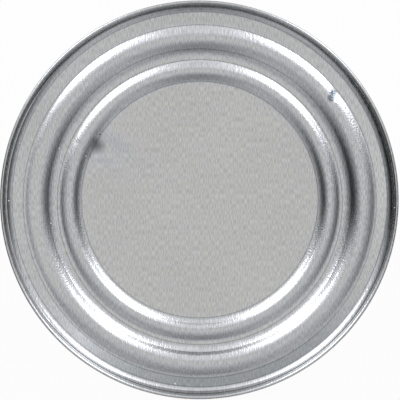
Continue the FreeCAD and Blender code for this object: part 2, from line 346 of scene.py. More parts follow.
def section_mesh(name, section):
    """Mesh of a section's points only, given in millimetres as (radius, height)."""
    mesh = bpy.data.meshes.new(name)
    points = [(radius * MM, 0, height * MM) for radius, height in section]
    mesh.from_pydata(points, [(i, i + 1) for i in range(len(points) - 1)], [])
    return mesh


def face_out(obj):
    """Turns every face of a closed piece outwards."""
    work = bmesh.new()
    work.from_mesh(obj.data)
    bmesh.ops.recalc_face_normals(work, faces=work.faces)
    work.to_mesh(obj.data)
    work.free()


# Marks in the upper end, as distance from the axis, direction in degrees, half-length and
# half-width, turn of the length in degrees, and how far the sheet is pushed up or down.
MARKS = [
    (44.2, 38.0, 1.6, 0.7, 100, -0.13),
    (35.1, 154.7, 0.7, 0.5, 60, -0.04),
    (50.2, 37.2, 0.9, 0.35, 127, 0.08),
]
# A small dimple at the centre panel's edge: it sinks from the bead's foot and fades inwards.
DIMPLE_EDGE = 31.7
DIMPLE_AZIMUTH = 150.5
DIMPLE_HALF_WIDTHS = (3.4, 4.5)
DIMPLE_REACH = 3.2
DIMPLE_FADE = 7.0
DIMPLE_DEPTH = 0.40
# The beads were struck a little off the rim's centre, in millimetres.
BEADS_OFF = (0.13, -0.20)
BEADS_OFF_FADE = 2.0
# On one side the die pressed the flat ring less, so the outer bead is nearly level with it there:
# the radii between which the ring is lifted, with their shares. The trough is lifted a little too.
SHALLOW_AZIMUTH = 182
SHALLOW_SPREAD = 52
SHALLOW_EASE = 1.6
SHALLOW_SHARE = 0.8
RING_LIFTED = (42.5, 43.3, 44.9, 45.85, 50.0)
RING_LIFT_SHARES = (0, 0.09, 0.66, 1, 1)
TROUGH_LIFTED = (33.94, 36.97, 42.40)
TROUGH_LIFT = 0.22
# How far down the rim's own rows reach, which the ring's lift leaves where they are.
RIM_ROWS = 1.0


def dented(obj):
    """Pushes the marks into the upper end, and evens out its outer bead on one side."""
    mesh = obj.data
    flat = np.empty(len(mesh.vertices) * 3, dtype=np.float32)
    mesh.vertices.foreach_get("co", flat)
    points = flat.reshape(-1, 3) / MM
    radius = np.hypot(points[:, 0], points[:, 1])
    azimuth = np.degrees(np.arctan2(points[:, 1], points[:, 0]))
    lift = np.zeros(len(points))
    for distance, direction, length, width, turn, push in MARKS:
        middle, lengthwise = (np.array((math.cos(math.radians(way)), math.sin(math.radians(way))))
                              for way in (direction, turn))
        away = points[:, :2] - distance * middle
        along = away @ lengthwise
        across = away @ np.array((-lengthwise[1], lengthwise[0]))
        lift += push * np.exp(-((along / length) ** 2 + (across / width) ** 2))
    inwards = DIMPLE_EDGE - radius
    aside = radius * np.radians((azimuth - DIMPLE_AZIMUTH + 180) % 360 - 180)
    down = np.clip(inwards / DIMPLE_REACH, 0, 1)
    down = down * down * (6 - 8 * down + 3 * down * down)
    down = down * np.exp(-(np.clip(inwards - DIMPLE_REACH, 0, None) / DIMPLE_FADE) ** 2)
    half_width = np.where(aside < 0, *DIMPLE_HALF_WIDTHS)
    lift -= DIMPLE_DEPTH * down * np.exp(-((aside / half_width) ** 2))
    off_side = np.abs((azimuth - SHALLOW_AZIMUTH + 180) % 360 - 180) / SHALLOW_SPREAD
    window = np.clip(SHALLOW_EASE * (1 - off_side), 0, 1)
    share = SHALLOW_SHARE * window * window * (3 - 2 * window)
    wall_top = RIM_RADIUS - SEAM_THICK
    outside = np.interp(radius, [*RING_LIFTED, wall_top], [*RING_LIFT_SHARES, 0])
    lift += share * RISE_1[2] * outside * (points[:, 2] < CAN_HEIGHT - RIM_ROWS)
    trough = np.interp(radius, TROUGH_LIFTED, [0, 1, 0])
    lift += TROUGH_LIFT * window * trough * trough * (3 - 2 * trough)
    points[:, 2] += lift * (radius < wall_top + END_SHEET)
    shift = np.clip((RING_IN + BEADS_OFF_FADE - radius) / BEADS_OFF_FADE, 0, 1)
    points[:, :2] += shift[:, None] * np.array(BEADS_OFF)
    mesh.vertices.foreach_set("co", (points * MM).astype(np.float32).ravel())
    mesh.update()


def noise(tree, place, scale, detail=2.0):
    """Noise on coordinates, with its own scale along each. Gives its value's socket."""
    stretch = tree.nodes.new("ShaderNodeMapping")
    stretch.inputs["Scale"].default_value = scale
    texture = tree.nodes.new("ShaderNodeTexNoise")
    texture.inputs["Scale"].default_value = 1.0
    texture.inputs["Detail"].default_value = detail
    link_nodes(tree, (place, stretch.inputs["Vector"]), (stretch.outputs[0], texture.inputs["Vector"]))
    return texture.outputs["Fac"]


def fade(tree, value, low, high, at_low, at_high):
    """Smooth change of a value from at_low to at_high as another goes from low to high."""
    node = tree.nodes.new("ShaderNodeMapRange")
    node.interpolation_type = "SMOOTHSTEP"
    tree.links.new(value, node.inputs["Value"])
    for socket, number in zip(("From Min", "From Max", "To Min", "To Max"), (low, high, at_low, at_high)):
        if isinstance(number, (int, float)):
            node.inputs[socket].default_value = number
        else:
            tree.links.new(number, node.inputs[socket])
    return node.outputs["Result"]


def mixed(tree, share, under, over):
    """Colour between two colours, each a socket or a tuple. Gives its socket."""
    node = tree.nodes.new("ShaderNodeMix")
    node.data_type = "RGBA"
    tree.links.new(share, node.inputs["Factor"])
    for socket, colour in ((node.inputs[6], under), (node.inputs[7], over)):
        if isinstance(colour, tuple):
            socket.default_value = (*colour, 1)
        else:
            tree.links.new(colour, socket)
    return node.outputs[2]


def ramp(tree, value, low, high, stops, tint=(1, 1, 1)):
    """Colour that follows (value, brightness) stops in straight lines, up to a brightness of 2."""
    place = tree.nodes.new("ShaderNodeMapRange")
    tree.links.new(value, place.inputs["Value"])
    place.inputs["From Min"].default_value = low
    place.inputs["From Max"].default_value = high
    node = tree.nodes.new("ShaderNodeValToRGB")
    tree.links.new(place.outputs["Result"], node.inputs["Fac"])
    while len(node.color_ramp.elements) < len(stops):
        node.color_ramp.elements.new(1.0)
    for element, (stop, brightness) in zip(node.color_ramp.elements, stops):
        element.position = (stop - low) / (high - low)
        element.color = (*[brightness / 2 * part for part in tint], 1)
    double = vector_node(tree, "SCALE", node.outputs["Color"])
    double.inputs["Scale"].default_value = 2
    return double.outputs[0]


def spots(tree, place, wanted, solid=0.6, edge=1.2):
    """1 on each of some round spots, given as (x, y, radius) in millimetres, else 0.

    A spot fades from a solid share of its radius out to an edge at another share.
    """
    total = 0.0
    for x, y, radius in wanted:
        away = vector_node(tree, "DISTANCE", place, (x * MM, y * MM, 0))
        spot = fade(tree, away.outputs["Value"], solid * radius * MM, edge * radius * MM, 1, 0)
        total = math_node(tree, "MAXIMUM", spot, total)
    return total


# Two tones of the rolled sheet, the height of its relief, and how rough it is on its flat parts,
# where it is stretched over the beads, and on the ring and rim.
TIN_DARK = (0.450, 0.453, 0.449)
TIN_LIGHT = (0.580, 0.586, 0.580)
RELIEF = 0.000017
FLAT_ROUGH, BEAD_ROUGH, RIM_SHARE = 0.45, 1.5, 0.4
PANEL_TO_BEAD = (29.5 * MM, 31.5 * MM)
BEAD_TO_RING = (45 * MM, 47 * MM)
GRIT = (2700, 2700, 2700)
CLOUD = (60, 60, 60)


def tinplate(name, grain_map, grain_scale, turn):
    """Bright tinned sheet with fine rolling lines that spread its reflections crosswise."""
    material = bpy.data.materials.new(name)
    material.use_nodes = True
    tree = material.node_tree
    new = tree.nodes.new
    calc = partial(math_node, tree)
    shader = tree.nodes["Principled BSDF"]
    shader.inputs["Metallic"].default_value = 1.0
    shader.inputs["Roughness"].default_value = 0.13
    shader.inputs["Anisotropic"].default_value = 0.7
    shader.inputs["Anisotropic Rotation"].default_value = turn
    tangent = new("ShaderNodeTangent")
    tangent.direction_type = "UV_MAP"
    tangent.uv_map = grain_map
    map_node = new("ShaderNodeUVMap")
    map_node.uv_map = grain_map
    lines = noise(tree, map_node.outputs[0], grain_scale, 1.0)
    streaks = noise(tree, map_node.outputs[0], tuple(2.2 * part for part in grain_scale), 0.0)
    grit = noise(tree, map_node.outputs[0], GRIT, 1.0)
    where = vector_node(tree, "MULTIPLY", new("ShaderNodeTexCoord").outputs["Object"], (1.0, 1.0, 0.0))
    from_axis = vector_node(tree, "LENGTH", where.outputs[0]).outputs["Value"]
    on_beads = fade(tree, from_axis, *PANEL_TO_BEAD, FLAT_ROUGH, BEAD_ROUGH)
    roughened = calc("MULTIPLY", on_beads, fade(tree, from_axis, *BEAD_TO_RING, 1, RIM_SHARE))
    cloud = noise(tree, map_node.outputs[0], CLOUD)
    tone = calc("ADD", calc("MULTIPLY", streaks, 0.85), calc("MULTIPLY", cloud, 0.15))
    sheet_colour = mixed(tree, fade(tree, tone, 0.3, 0.7, 0, 1), TIN_DARK, TIN_LIGHT)
    relief = calc("ADD", lines, calc("MULTIPLY", grit, roughened))
    bump = new("ShaderNodeBump")
    bump.inputs["Strength"].default_value = 1.0
    bump.inputs["Distance"].default_value = RELIEF
    link_nodes(
        tree,
        (sheet_colour, shader.inputs["Base Color"]),
        (relief, bump.inputs["Height"]),
        (bump.outputs["Normal"], shader.inputs["Normal"]),
        (tangent.outputs[0], shader.inputs["Tangent"]),
    )
    return material


# Wear and painted light on the upper end, with places in millimetres. The die left fine grooves,
# whose dark lines are painted shade, each given as its radius and how far its middle lies back.
# There are white specks painted where the sheet glints, two specks of dirt, painted shade where the
# crease breaks the reflection and painted shade in the dimple, each as (x, y, radius), and the flat
# ring has a painted reflection, lighter in one place and darker along its front, as (direction in degrees,
# share).
DIE_GROOVE_SHADES = [(48.65, 0.15), (45.80, -0.42), (39.37, -0.20), (37.00, -0.60), (30.72, 0.07)]
GLINT_SPECKS = [(-49.4, -0.2, 0.17), (-38.5, -6.1, 0.18), (50.5, -2.0, 0.15), (-46.6, 14.7, 0.15),
        (-36.3, 13.4, 0.15), (-39.7, 20.1, 0.13), (-29.4, 11.3, 0.15), (-6.3, -47.7, 0.2)]
DIRT = [(7.9, -44.5, 0.16), (-25.9, 17.0, 0.24)]
CREASE_SHADE = [(34.3, 26.5, 1.1), (34.7, 27.7, 1.0)]
DIMPLE_SHADE = [(-26.3, 14.0, 2.3), (-26.9, 15.0, 1.5)]
RING_MIDDLE = 47.3
RING_REFLECTION_TONE = [(-180, 1.04), (-155, 1.0), (-138, 1.15), (-130, 1.32), (-121, 1.05), (-110, 0.80), (-95, 0.68),
             (-70, 0.66), (-50, 0.72), (-30, 0.95), (0, 1.07), (30, 1.03), (90, 0.92), (125, 1.0),
             (155, 0.97), (180, 1.04)]


def add_wear_and_painted_light(material):
    """Adds the upper end's dirt, with painted shade, painted reflection and painted glints, to its
    tinplate.
    """
    tree = material.node_tree
    new = tree.nodes.new
    calc = partial(math_node, tree)
    shader = tree.nodes["Principled BSDF"]
    place = new("ShaderNodeSeparateXYZ")
    where = new("ShaderNodeTexCoord").outputs["Object"]
    tree.links.new(where, place.inputs[0])
    flat = new("ShaderNodeCombineXYZ")
    link_nodes(tree, (place.outputs["X"], flat.inputs["X"]), (place.outputs["Y"], flat.inputs["Y"]))
    from_axis = vector_node(tree, "LENGTH", flat.outputs[0]).outputs["Value"]
    azimuth = calc("DEGREES", calc("ARCTAN2", place.outputs["Y"], place.outputs["X"]))
    from_ring = calc("ABSOLUTE", calc("SUBTRACT", from_axis, RING_MIDDLE * MM))
    on_ring = fade(tree, from_ring, 1.0 * MM, 1.9 * MM, 1, 0)
    plain = shader.inputs["Base Color"].links[0].from_socket
    # Painted reflection: the flat ring is made lighter or darker by its direction round the can.
    reflection_toned = vector_node(tree, "MULTIPLY", plain, ramp(tree, azimuth, -180, 180, RING_REFLECTION_TONE))
    colour = mixed(tree, on_ring, plain, reflection_toned.outputs[0])
    # Painted shade: the ring's front is tinted blue.
    front = calc("MULTIPLY", on_ring, fade(tree, place.outputs["Y"], -40 * MM, -20 * MM, 0.5, 0))
    front_shade_blue = vector_node(tree, "MULTIPLY", colour, (0.93, 1.0, 1.09))
    colour = mixed(tree, front, colour, front_shade_blue.outputs[0])
    # Painted shade: a dark blue-grey mark where the crease breaks the reflection.
    crease_shade = calc("MULTIPLY", spots(tree, flat.outputs[0], CREASE_SHADE), 0.8)
    colour = mixed(tree, crease_shade, colour, (0.10, 0.13, 0.16))
    # Painted shade: a thin dark line along each of the die's grooves.
    for radius, back in DIE_GROOVE_SHADES:
        from_middle = vector_node(tree, "DISTANCE", flat.outputs[0], (BEADS_OFF[0] * MM, back * MM, 0.0))
        off_line = calc("SUBTRACT", from_middle.outputs["Value"], radius * MM)
        off_line = calc("ABSOLUTE", off_line)
        darker = vector_node(tree, "SCALE", colour)
        shade = fade(tree, off_line, 0.05 * MM, 0.20 * MM, 0.66, 1.0)
        tree.links.new(shade, darker.inputs["Scale"])
        colour = darker.outputs[0]
    # Painted shade: a soft dark patch in the dimple.
    dimple_shade = calc("MULTIPLY", spots(tree, flat.outputs[0], DIMPLE_SHADE, 0.0, 1.3), 0.7)
    colour = mixed(tree, dimple_shade, colour, (0.10, 0.10, 0.11))
    dirt = spots(tree, flat.outputs[0], DIRT)
    # Painted glints: small white specks, not metallic.
    glint_specks = spots(tree, flat.outputs[0], GLINT_SPECKS)
    colour = mixed(tree, dirt, colour, (0.03, 0.03, 0.03))
    link_nodes(
        tree,
        (mixed(tree, glint_specks, colour, (0.95, 0.95, 0.95)), shader.inputs["Base Color"]),
        (calc("SUBTRACT", 1, calc("MAXIMUM", glint_specks, dirt)), shader.inputs["Metallic"]),
    )
    return material


GRAIN = (2100, 340, 340)
end_steel = tinplate("end_steel", "grain", GRAIN, 0.0)
worn_steel_and_painted_light = add_wear_and_painted_light(tinplate("end_steel_worn_painted_light", "grain", GRAIN, 0.0))
spin = spin_tree()
section = end_section()
for name, base, up in (("top_end", CAN_HEIGHT, 1), ("bottom_end", 0, -1)):
    placed = [(radius, base + up * height) for radius, height in section]
    end = grown(f"{name}_sheet", section_mesh(name, placed), spin, {
        "Section points": len(section), "Steps round": SPIN_STEPS,
        "Finish": worn_steel_and_painted_light if up > 0 else end_steel})
    if name == "top_end":
        dented(end)
    face_out(end)
    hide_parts(name)
    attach(end, "root")

# ---------------------------------------------------------------- can body
# The body is tinned steel sheet, rolled to a tube and welded down one side, with ribs rolled
# into it against denting and each end necked in, so that the label sits behind the rims.
# The sauce fills it to just under the ends, low enough to clear the dimple.

BODY_STEPS = 360
FILL_DEPTH = 5.4
NECK_TOP = 5.07
NECK_HEIGHT = 1.4
NECK_IN = 0.6
BODY_RADIUS = WALL_OUT - NECK_IN
BODY_HOOK_SPACE = 0.6
HOOK_PLAY = 0.08
RIB_COUNT = 17
RIB_PITCH = 4.8
RIB_DEPTH = 0.4
RIB_ROUND = 3.2
RIB_ROWS = 8
WELD_AZIMUTH = 68
WELD_WIDTH = 1.0
WELD_TINT = (0.36, 0.33, 0.30)
WELD_GREY = (0.20, 0.19, 0.19)


def body_section():
    """Section of the filled body from the axis at its top, down the wall, to the axis below."""
    bend_out = BODY_SHEET + LAP_GAP + END_SHEET / 2
    turn_top = END_SHEET + LAP_GAP + HOOK_PLAY
    turn_middle = WALL_IN + bend_out
    turn_foot = turn_top + bend_out
    hook_out = RIM_RADIUS - END_SHEET - LAP_GAP
    hook_in = hook_out - BODY_SHEET
    hook_end = SEAM_HEIGHT - END_SHEET - BODY_HOOK_SPACE
    half = [(0.0, FILL_DEPTH), (WALL_IN, FILL_DEPTH), (WALL_IN, turn_foot), (turn_middle, turn_top)]
    half += [(hook_out, turn_foot), (hook_out, hook_end), (hook_in, hook_end), (hook_in, turn_foot)]
    half += [(turn_middle, turn_top + BODY_SHEET), (WALL_OUT, turn_foot), (WALL_OUT, NECK_TOP - EDGE_ROW)]
    for share in np.linspace(0, 1, 9):
        ease = 0.5 - 0.5 * math.cos(share * math.pi)
        half.append((WALL_OUT - NECK_IN * ease, NECK_TOP + NECK_HEIGHT * share))
    rib_rows = RIB_COUNT * RIB_ROWS
    reach = RIB_PITCH * RIB_COUNT / 2
    wall = [(BODY_RADIUS, CAN_HEIGHT / 2 + height) for height in np.linspace(reach, -reach, rib_rows + 1)]
    upper = [(radius, CAN_HEIGHT - depth) for radius, depth in half]
    return upper + wall + half[::-1]


def ribbed_tree(spin):
    """Geometry nodes that roll evenly spaced ribs into a wall's section, then spin it."""
    tree, inputs = new_tree("ribbed_wall", ("Section", "Geometry"), ("Section points", "Int"),
                            ("Steps round", "Int"), ("Rib count", "Int"), ("Rib pitch", "Float"),
                            ("Rib depth", "Float"), ("Rib round", "Float"), ("First rib", "Float"),
                            ("Wall radius", "Float"), ("Finish", "Material"))
    new = tree.nodes.new
    calc = partial(math_node, tree)
    point = new("ShaderNodeSeparateXYZ")
    place = new("ShaderNodeCombineXYZ")
    put = new("GeometryNodeSetPosition")
    spun = new("GeometryNodeGroup")
    spun.node_tree = spin
    height = calc("SUBTRACT", point.outputs["Z"], inputs["First rib"])
    nearest = calc("ROUND", calc("DIVIDE", height, inputs["Rib pitch"]))
    last = calc("SUBTRACT", inputs["Rib count"], 1)
    nearest = calc("MAXIMUM", calc("MINIMUM", nearest, last), 0)
    off = calc("SUBTRACT", height, calc("MULTIPLY", nearest, inputs["Rib pitch"]))
    square = calc("MULTIPLY", inputs["Rib round"], inputs["Rib round"])
    left = calc("SUBTRACT", square, calc("MULTIPLY", off, off))
    left = calc("MAXIMUM", left, 0)
    middle = calc("SUBTRACT", inputs["Wall radius"], inputs["Rib depth"])
    middle = calc("ADD", middle, inputs["Rib round"])
    hollow = calc("SUBTRACT", middle, calc("SQRT", left))
    link_nodes(
        tree,
        (new("GeometryNodeInputPosition").outputs[0], point.inputs[0]),
        (calc("MINIMUM", point.outputs["X"], hollow), place.inputs["X"]),
        (point.outputs["Z"], place.inputs["Z"]),
        (inputs["Section"], put.inputs["Geometry"]),
        (place.outputs[0], put.inputs["Position"]),
        (put.outputs[0], spun.inputs["Section"]),
        *[(inputs[name], spun.inputs[name]) for name in ("Section points", "Steps round", "Finish")],
        (spun.outputs[0], new("NodeGroupOutput").inputs[0]),
    )
    return tree


body_steel = tinplate("body_steel", "wrap", (340, 2100, 340), 0.25)
tree = body_steel.node_tree
shader = tree.nodes["Principled BSDF"]
wrap = tree.nodes.new("ShaderNodeSeparateXYZ")
tree.links.new(tree.nodes["UV Map"].outputs[0], wrap.inputs[0])
weld_place = math.radians(WELD_AZIMUTH) * RIM_RADIUS * MM
off_weld = math_node(tree, "ABSOLUTE", math_node(tree, "SUBTRACT", wrap.outputs["X"], weld_place))
tint = fade(tree, off_weld, 0.5 * WELD_WIDTH * MM, 1.6 * WELD_WIDTH * MM, 0.7, 0)
weld = fade(tree, off_weld, 0.4 * WELD_WIDTH * MM, 0.5 * WELD_WIDTH * MM, 1, 0)
plain = shader.inputs["Base Color"].links[0].from_socket
tinted = mixed(tree, tint, plain, WELD_TINT)
tree.links.new(mixed(tree, weld, tinted, WELD_GREY), shader.inputs["Base Color"])

section = body_section()
body = grown("can_body_steel", section_mesh("can_body", section), ribbed_tree(spin), {
    "Section points": len(section), "Steps round": BODY_STEPS, "Rib count": RIB_COUNT,
    "Rib pitch": RIB_PITCH * MM, "Rib depth": RIB_DEPTH * MM, "Rib round": RIB_ROUND * MM,
    "First rib": (CAN_HEIGHT - RIB_PITCH * (RIB_COUNT - 1)) / 2 * MM,
    "Wall radius": BODY_RADIUS * MM, "Finish": body_steel})
face_out(body)
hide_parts("can_body")
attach(body, "root")

# ---------------------------------------------------------------- paper label
# One sheet of coated paper, printed in warm colours, is wrapped round the wall between the necks
# and glued to itself in an overlap at the back. It gives a little over each rib.

LABEL_STEPS = 300
LABEL_ROWS = RIB_ROWS * RIB_COUNT + 17
LABEL_GAP = 0.03
LABEL_PAPER = 0.11
LABEL_MARGIN = 1.2
LABEL_LAP = 11.0
# The angle, in radians, over which the overlap climbs on to the sheet's other end.
LAP_RISE = 0.03
LABEL_SAG = 0.02
LABEL_FOOT = NECK_TOP + NECK_HEIGHT + LABEL_MARGIN
LABEL_TALL = CAN_HEIGHT - 2 * LABEL_FOOT
LABEL_RADIUS = BODY_RADIUS + LABEL_GAP + LABEL_PAPER
LABEL_ROUND = math.tau * LABEL_RADIUS


def label_section():
    """Section of the paper as a closed loop: up its inner face and down its outer face."""
    heights = np.linspace(0, LABEL_TALL, LABEL_ROWS)
    from_rib = (heights - LABEL_TALL / 2) / RIB_PITCH
    on_rib = (np.abs(from_rib) < RIB_COUNT / 2) * (0.5 + 0.5 * np.cos(math.tau * from_rib))
    inner = [(LABEL_RADIUS - LABEL_PAPER - LABEL_SAG * give, LABEL_FOOT + height)
             for give, height in zip(on_rib, heights)]
    outer = [(radius + LABEL_PAPER, height) for radius, height in inner[::-1]]
    return inner + outer + inner[:1]


def wrap_tree():
    """Geometry nodes that wrap a closed section round the can once, with an overlap.

    The map "print" gives the place on the sheet in millimetres, from the middle of its front and
    from its foot. The sheet thins to nothing at its two upright edges, which closes it there.
    """
    tree, inputs = new_tree("wrapped_sheet", ("Section", "Geometry"), ("Section points", "Int"),
                            ("Steps round", "Int"), ("Radius", "Float"), ("Lap", "Float"),
                            ("Paper", "Float"), ("Foot", "Float"), ("Finish", "Material"))
    calc = partial(math_node, tree)
    share, point, place, placed, here = section_grid(tree, inputs)
    lap_angle = calc("DIVIDE", inputs["Lap"], inputs["Radius"])
    turned = calc("MULTIPLY", share, calc("ADD", lap_angle, math.tau))
    start = calc("SUBTRACT", math.pi / 2, calc("MULTIPLY", lap_angle, 0.5))
    angle = calc("ADD", start, turned)
    over = calc("SUBTRACT", turned, math.tau - LAP_RISE)
    lift = calc("MULTIPLY", fade(tree, over, 0.0, LAP_RISE, 0, 1), inputs["Paper"])
    from_middle = calc("ABSOLUTE", calc("SUBTRACT", share, 0.5))
    at_edge = calc("GREATER_THAN", from_middle, 0.4999)
    half_paper = calc("MULTIPLY", inputs["Paper"], 0.5)
    centre_line = calc("SUBTRACT", inputs["Radius"], half_paper)
    to_centre = calc("SUBTRACT", centre_line, point["X"])
    thinned = calc("ADD", point["X"], calc("MULTIPLY", to_centre, at_edge))
    radius = calc("ADD", thinned, lift)
    front = calc("SUBTRACT", angle, 1.5 * math.pi)
    in_mm = calc("MULTIPLY", inputs["Radius"], 1 / MM)
    up = calc("SUBTRACT", here["Z"], inputs["Foot"])
    spot = tree.nodes.new("ShaderNodeCombineXYZ")
    link_nodes(
        tree,
        (calc("MULTIPLY", radius, calc("COSINE", angle)), place["X"]),
        (calc("MULTIPLY", radius, calc("SINE", angle)), place["Y"]),
        (calc("MULTIPLY", front, in_mm), spot.inputs["X"]),
        (calc("DIVIDE", up, MM), spot.inputs["Y"]),
    )
    finish_tree(tree, inputs, joined(tree, store_map(tree, "print", placed, spot.outputs[0])))
    return tree


DEEP_RED = (0.36, 0.022, 0.012)
CHILLI_RED = (0.62, 0.035, 0.014)
CREAM = (0.83, 0.72, 0.50)
MUSTARD = (0.72, 0.36, 0.045)
LEAF_GREEN = (0.055, 0.17, 0.035)
INK_BROWN = (0.12, 0.03, 0.018)
BARE_PAPER = (0.80, 0.77, 0.70)
BAND_TALL = 10.0
PRINT_EDGE = 0.15
# Places and sizes on the sheet, from the middle of its front: each diamond's column and half
# size, the plaque's half size, the ribbon under it, and the two ruled panels.
DIAMOND_COLUMN, DIAMOND_ROWS = 66, 35
DIAMOND_HALF = (6.0, 7.0)
PLAQUE_UP, PLAQUE_HALF, PLAQUE_CORNER = 3, (46, 31), 15
RIBBON_DOWN, RIBBON_HALF = 33, (33, 5)
RULED_OUT, RULED_HALF, RULE_FIELD = 112, (27, 33), (23, 28)
RULE_PITCH, RULE_HALF = 5.2, 0.16


def printed_label():
    """Coated paper with its print: bands, a plaque with chillies, diamonds and ruled panels."""
    material = bpy.data.materials.new("label_paper")
    material.use_nodes = True
    tree = material.node_tree
    new = tree.nodes.new
    calc = partial(math_node, tree)
    shader = tree.nodes["Principled BSDF"]
    map_node = new("ShaderNodeUVMap")
    map_node.uv_map = "print"
    spot = new("ShaderNodeSeparateXYZ")
    tree.links.new(map_node.outputs[0], spot.inputs[0])
    across, up = spot.outputs["X"], spot.outputs["Y"]

    def inside(distance):
        """1 where a signed distance is below zero, with a crisp edge."""
        return fade(tree, distance, -PRINT_EDGE / 2, PRINT_EDGE / 2, 1, 0)

    def from_line(value, middle):
        return calc("ABSOLUTE", calc("SUBTRACT", value, middle))

    def panel(middle, half, corner):
        """Signed distance to a box with round corners."""
        parts = []
        for value, centre, size in zip((across, up), middle, half):
            past = calc("MAXIMUM", calc("SUBTRACT", from_line(value, centre), size - corner), 0)
            parts.append(calc("MULTIPLY", past, past))
        return calc("SUBTRACT", calc("SQRT", calc("ADD", *parts)), corner)

    def turned(middle, degrees):
        """Coordinates along and across something that is turned about its middle."""
        cosine, sine = math.cos(math.radians(degrees)), math.sin(math.radians(degrees))
        right, above = calc("SUBTRACT", across, middle[0]), calc("SUBTRACT", up, middle[1])
        along = calc("ADD", calc("MULTIPLY", right, cosine), calc("MULTIPLY", above, sine))
        side = calc("SUBTRACT", calc("MULTIPLY", above, cosine), calc("MULTIPLY", right, sine))
        return along, side

    def chilli(colour, middle, degrees, half_length, half_width, body=CHILLI_RED):
        """Paints a bent, tapering pod with a lighter streak and a green stalk."""
        along, side = turned(middle, degrees)
        share = calc("DIVIDE", along, half_length)
        spine = calc("MULTIPLY", calc("MULTIPLY", share, share), 0.28 * half_length)
        off = calc("SUBTRACT", side, spine)
        round_end = calc("SQRT", calc("MAXIMUM", calc("SUBTRACT", 1, calc("MULTIPLY", share, share)), 0))
        taper = calc("SUBTRACT", 0.72, calc("MULTIPLY", share, 0.42))
        reach = calc("MULTIPLY", calc("MULTIPLY", round_end, taper), half_width / 0.8)
        pod = inside(calc("SUBTRACT", calc("ABSOLUTE", off), reach))
        shine_off = calc("ABSOLUTE", calc("SUBTRACT", off, 0.3 * half_width))
        shine = fade(tree, calc("SUBTRACT", shine_off, calc("MULTIPLY", reach, 0.16)), -0.3, 0.3, 0.55, 0)
        stalk_off = calc("SUBTRACT", off, calc("MULTIPLY", calc("ADD", share, 1), -2.2))
        stalk_along = calc("SUBTRACT", from_line(share, -1.16), 0.2)
        stalk_edge = calc("MULTIPLY", stalk_along, half_length)
        stalk_side = calc("SUBTRACT", calc("ABSOLUTE", stalk_off), 0.14 * half_width)
        stalk = inside(calc("MAXIMUM", stalk_edge, stalk_side))
        cap_side = calc("SUBTRACT", calc("ABSOLUTE", off), calc("MULTIPLY", reach, 1.12))
        cap = inside(calc("MAXIMUM", cap_side, calc("MULTIPLY", calc("ADD", share, 0.86), half_length)))
        colour = mixed(tree, stalk, colour, LEAF_GREEN)
        colour = mixed(tree, pod, colour, body)
        colour = mixed(tree, calc("MULTIPLY", shine, pod), colour, (0.92, 0.32, 0.2))
        return mixed(tree, cap, colour, LEAF_GREEN)

    mottle = noise(tree, map_node.outputs[0], (0.05, 0.05, 1), 3.0)
    darker_red = tuple(0.82 * part for part in DEEP_RED)
    colour = mixed(tree, fade(tree, mottle, 0.3, 0.7, 0, 1), DEEP_RED, darker_red)

    # Diamonds in two columns beside the front panel.
    from_middle = calc("SUBTRACT", up, LABEL_TALL / 2)
    column = calc("ABSOLUTE", calc("SUBTRACT", calc("ABSOLUTE", across), DIAMOND_COLUMN))
    row = calc("PINGPONG", from_middle, DIAMOND_HALF[1])
    diamond = calc("ADD", calc("DIVIDE", column, DIAMOND_HALF[0]), calc("DIVIDE", row, DIAMOND_HALF[1]))
    in_column = calc("LESS_THAN", calc("ABSOLUTE", from_middle), DIAMOND_ROWS)
    for size, paint in ((1.0, MUSTARD), (0.62, DEEP_RED), (0.34, CREAM)):
        mask = calc("MULTIPLY", inside(calc("MULTIPLY", calc("SUBTRACT", diamond, size), 4)), in_column)
        colour = mixed(tree, mask, colour, paint)

    # Front plaque with its rules and three chillies, and a bare ribbon under it.
    middle = (0, LABEL_TALL / 2 + PLAQUE_UP)
    for grow, paint in ((2.2, MUSTARD), (0.9, INK_BROWN), (0.0, CREAM), (-2.4, MUSTARD), (-3.0, CREAM)):
        half = tuple(size + grow for size in PLAQUE_HALF)
        colour = mixed(tree, inside(panel(middle, half, PLAQUE_CORNER + grow)), colour, paint)
    for place, turn, length, width, body_colour in (
        ((-12, middle[1] - 3), 118, 19, 5.2, CHILLI_RED),
        ((13, middle[1] - 2), 62, 19, 5.2, (0.50, 0.022, 0.012)),
        ((1, middle[1] + 1), 88, 22, 5.8, (0.70, 0.05, 0.016)),
    ):
        colour = chilli(colour, place, turn + 180, length, width, body_colour)
    for grow, paint in ((0.9, INK_BROWN), (0.0, MUSTARD)):
        half = tuple(size + grow for size in RIBBON_HALF)
        ribbon = panel((0, middle[1] - RIBBON_DOWN), half, half[1])
        colour = mixed(tree, inside(ribbon), colour, paint)

    # Two ruled panels near the overlap.
    for side in (-1, 1):
        middle = (side * RULED_OUT, LABEL_TALL / 2)
        for grow, paint in ((0.6, MUSTARD), (0.0, CREAM)):
            half = tuple(size + grow for size in RULED_HALF)
            colour = mixed(tree, inside(panel(middle, half, 3 + grow)), colour, paint)
        off_rule = calc("SUBTRACT", calc("FLOORED_MODULO", up, RULE_PITCH), RULE_PITCH / 2)
        off_rule = calc("SUBTRACT", calc("ABSOLUTE", off_rule), RULE_HALF)
        rules = inside(calc("MAXIMUM", off_rule, panel(middle, RULE_FIELD, 0.5)))
        colour = mixed(tree, rules, colour, INK_BROWN)

    # Bands along both edges, with a row of triangles between two rules.
    to_edge = calc("SUBTRACT", LABEL_TALL / 2, from_line(up, LABEL_TALL / 2))
    teeth = calc("ADD", calc("MULTIPLY", calc("PINGPONG", across, LABEL_ROUND / 96), 1.25), 2.2)
    for distance, paint in (
        (calc("SUBTRACT", to_edge, BAND_TALL), CREAM),
        (calc("SUBTRACT", to_edge, BAND_TALL - 0.9), LEAF_GREEN),
        (calc("SUBTRACT", to_edge, BAND_TALL - 2.4), MUSTARD),
        (calc("MAXIMUM", calc("SUBTRACT", 2.2, to_edge), calc("SUBTRACT", to_edge, teeth)), DEEP_RED),
        (calc("SUBTRACT", to_edge, 1.3), INK_BROWN),
    ):
        colour = mixed(tree, inside(distance), colour, paint)

